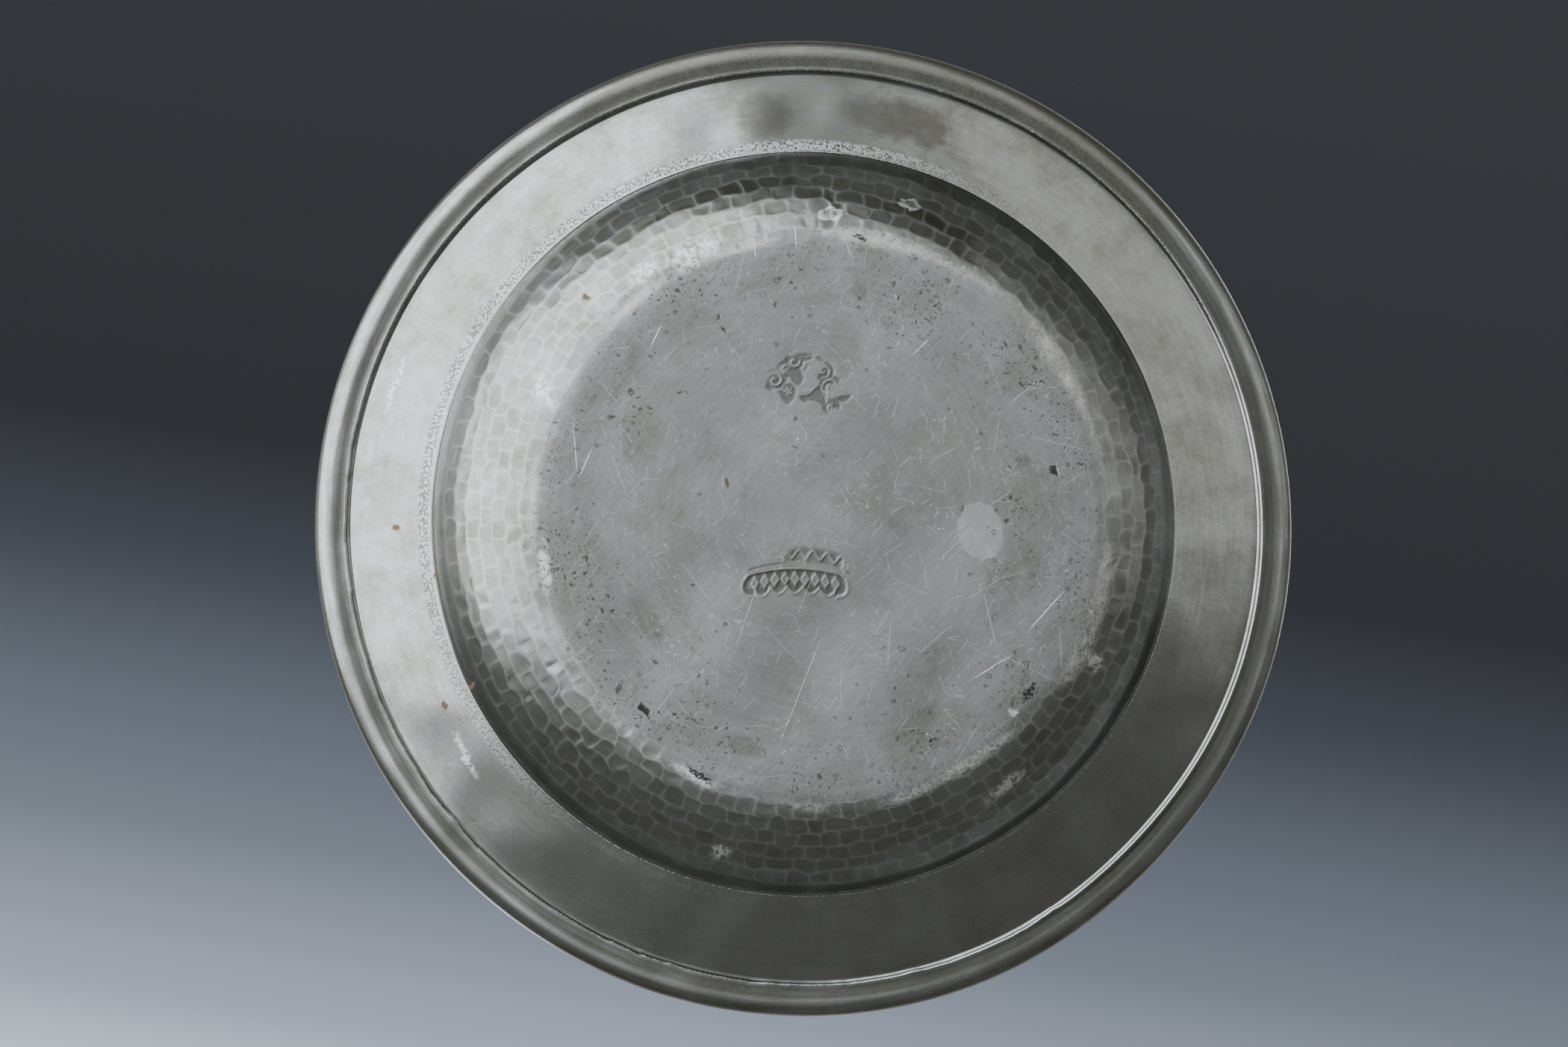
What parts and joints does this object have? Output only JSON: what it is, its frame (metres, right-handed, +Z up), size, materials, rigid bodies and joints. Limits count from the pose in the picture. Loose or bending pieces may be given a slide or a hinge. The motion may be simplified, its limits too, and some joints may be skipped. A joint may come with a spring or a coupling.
{
  "type": "paten plate",
  "caption": "Round cast pewter plate with a flat base, a curved hammered booge, a wide plain rim and a stiffening band under the rim's edge.",
  "frame": {"origin": "centre of the base's underside, on the surface that the plate stands on", "axes": "+Z up along the plate's axis, out of the well; the plate is round, so +X and +Y are any two directions across it"},
  "size_m": [0.241, 0.241, 0.0204],
  "materials": {
    "pewter": "aged pewter, dull grey with olive tarnish, brighter where it is worn"
  },
  "bodies": {
    "root": {"plate": "pewter"}
  },
  "joints": []
}
